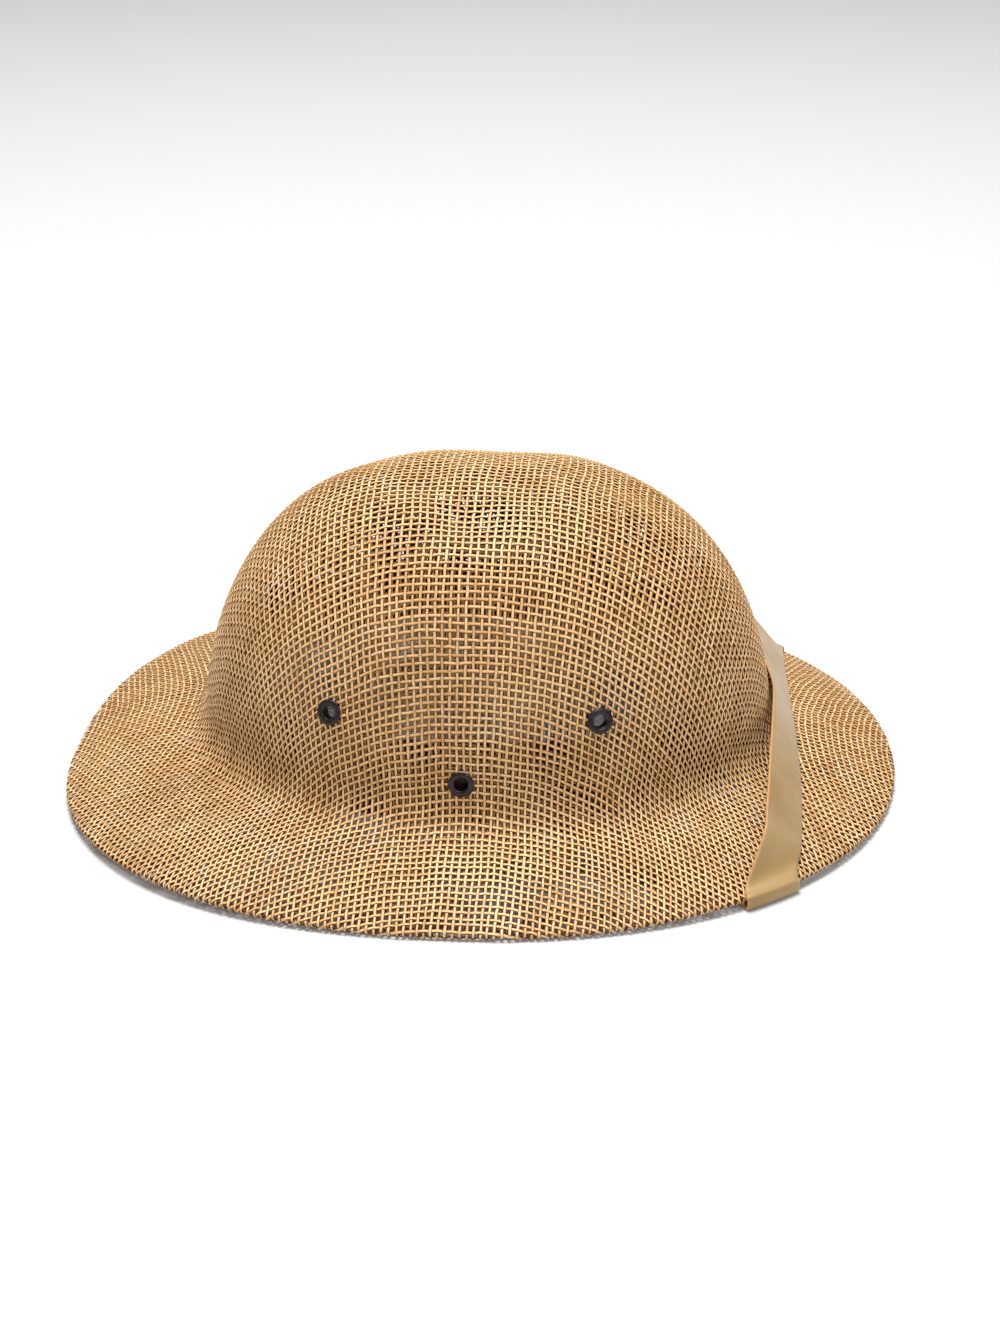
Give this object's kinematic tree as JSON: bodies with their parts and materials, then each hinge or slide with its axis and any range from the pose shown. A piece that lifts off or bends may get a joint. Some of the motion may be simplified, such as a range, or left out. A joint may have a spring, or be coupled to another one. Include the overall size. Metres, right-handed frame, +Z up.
{
  "type": "pith helmet",
  "caption": "Moulded straw-mesh pith helmet with an oval brim, ventilation eyelets, an inner sweatband and a flat chin strap turned up over the front of the brim.",
  "frame": {"origin": "centre of the brim's outline in plan, on the surface that the hem rests on", "axes": "+X towards the front of the hat, +Y towards the wearer's left, +Z up through the crown"},
  "size_m": [0.333, 0.2854, 0.125],
  "materials": {
    "straw": "open weave of twisted paper straw, two plies, matte with a slight sheen",
    "eyelet_enamel": "dark brown enamel, semi-gloss",
    "band_leather": "dark brown, satin",
    "strap_satin": "khaki woven satin, slight sheen"
  },
  "bodies": {
    "root": {"shell": "straw", "eyelet_right_front": "eyelet_enamel", "eyelet_right_rear": "eyelet_enamel", "eyelet_right_low": "eyelet_enamel", "eyelet_left_front": "eyelet_enamel", "eyelet_left_rear": "eyelet_enamel", "eyelet_left_low": "eyelet_enamel", "sweatband": "band_leather", "chin_strap": "strap_satin"}
  },
  "joints": []
}
